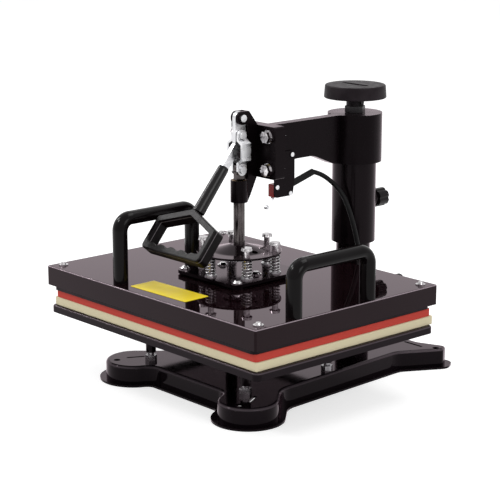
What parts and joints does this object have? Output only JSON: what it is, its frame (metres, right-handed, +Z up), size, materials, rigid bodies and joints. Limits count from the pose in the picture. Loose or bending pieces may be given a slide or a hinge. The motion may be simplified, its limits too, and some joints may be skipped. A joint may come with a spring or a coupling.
{
  "type": "swing-away heat press",
  "caption": "Craft heat press whose heated platen hangs on an arm that swings about a column, closed by a toggle lever.",
  "frame": {"origin": "on the bench, at the centre of the base's four bench holes", "axes": "+X to the operator's right, +Y from the operator to the column, +Z up"},
  "size_m": [0.39, 0.4078, 0.356],
  "materials": {
    "black_paint": "gloss",
    "arm_paint": "gloss",
    "chrome_steel": "polished",
    "zinc_steel": "satin",
    "cast_plate": "cast and machined",
    "dark_steel": "satin",
    "bronze": "machined",
    "red_silicone": "matte",
    "cream_felt": "felt",
    "blanket": "woven",
    "black_plastic": "matte",
    "red_plastic": "gloss",
    "black_rubber": "matte"
  },
  "bodies": {
    "stand": {"base_frame": "black_paint", "column_post": "chrome_steel", "post_flange": "black_paint", "post_bolts": "zinc_steel", "post_nuts": "zinc_steel", "screw_nut": "zinc_steel", "tray": "black_paint", "tray_bosses": "black_paint", "tray_studs": "chrome_steel", "tray_nuts": "chrome_steel", "felt_pad": "cream_felt", "silicone_mat": "red_silicone"},
    "carriage": {"lift_carriage": "zinc_steel"},
    "arm": {"swing_arm": "arm_paint", "column_sleeve": "arm_paint", "guide_head": "arm_paint", "guide_bush": "bronze", "flange_bolts": "zinc_steel", "flange_nuts": "zinc_steel", "pivot_pin": "zinc_steel", "switch_bracket": "black_paint", "switch_screws": "zinc_steel", "microswitch": "red_plastic", "lead_sleeve": "black_rubber", "switch_lead": "black_rubber", "lead_connector": "chrome_steel"},
    "knob": {"pressure_knob": "black_plastic", "knob_spindle": "dark_steel", "knob_set_screw": "dark_steel", "thrust_collar": "dark_steel"},
    "lock": {"lock_knob": "black_plastic", "lock_screw": "zinc_steel"},
    "lever": {"lever_bar": "zinc_steel", "lever_sleeve": "black_plastic", "lever_grip": "black_plastic", "crank_pin": "zinc_steel"},
    "links": {"link_right": "zinc_steel", "link_left": "zinc_steel", "link_pins": "zinc_steel"},
    "rod": {"press_rod": "chrome_steel", "pressure_disc": "black_paint", "rod_nut": "zinc_steel"},
    "platen": {"spring_bolts": "chrome_steel", "press_springs": "chrome_steel", "spring_seats": "zinc_steel", "spring_plate": "black_paint", "plate_spacers": "zinc_steel", "plate_bolts": "chrome_steel", "platen_cover": "black_paint", "cover_screws": "chrome_steel", "insulation": "blanket", "heating_element": "zinc_steel", "heat_plate": "cast_plate", "thermal_probe": "zinc_steel", "side_handle_left": "black_plastic", "side_handle_right": "black_plastic", "handle_screws": "zinc_steel", "cable_gland": "black_plastic"},
    "switch_arm": {"switch_lever": "zinc_steel"},
    "roller": {"switch_roller": "zinc_steel"}
  },
  "joints": [
    {"name": "pressure_turn", "type": "hinge", "parent": "carriage", "child": "knob", "pos_m": [0, 0.132, 0.34], "axis": [0, 0, 1], "range_deg": [0, 1080]},
    {"name": "pressure_lift", "type": "slide", "parent": "stand", "child": "carriage", "axis": [0, 0, 1], "range_m": [0, 0.006]},
    {"name": "swing", "type": "hinge", "parent": "carriage", "child": "arm", "pos_m": [0, 0.132, 0.258], "axis": [0, 0, 1], "continuous": true},
    {"name": "column_lock", "type": "hinge", "parent": "arm", "child": "lock", "pos_m": [0, 0.18, 0.203], "axis": [0, 1, 0], "range_deg": [0, 360]},
    {"name": "lever_turn", "type": "hinge", "parent": "arm", "child": "lever", "pos_m": [0, -0.066, 0.334], "axis": [-1, 0, 0], "range_deg": [0, 120]},
    {"name": "link_turn", "type": "hinge", "parent": "lever", "child": "links", "pos_m": [0, -0.066, 0.313], "axis": [-1, 0, 0], "range_deg": [-146, 0]},
    {"name": "rod_slide", "type": "slide", "parent": "arm", "child": "rod", "axis": [0, 0, 1], "range_m": [0, 0.03564]},
    {"name": "platen_float", "type": "slide", "parent": "rod", "child": "platen", "axis": [0, 0, 1], "range_m": [-0.0091, 0], "deforming": ["press_springs"]},
    {"name": "switch_press", "type": "hinge", "parent": "arm", "child": "switch_arm", "pos_m": [0.00185, -0.012, 0.229], "axis": [-1, 0, 0], "range_deg": [0, 10], "stiffness_Nm_per_rad": 0.02},
    {"name": "roller_spin", "type": "hinge", "parent": "switch_arm", "child": "roller", "pos_m": [0.00185, -0.02249, 0.21814], "axis": [1, 0, 0], "continuous": true}
  ],
  "couplings": [
    {"joint": "pressure_turn", "follows": "pressure_lift", "rad_per_m": 3141.6},
    {"joint": "lever_turn", "follows": "rod_slide", "rad_per_m": 58.76},
    {"joint": "link_turn", "follows": "rod_slide", "rad_per_m": -71.32},
    {"joint": "platen_float", "follows": "rod_slide", "ratio": -0.2525}
  ]
}
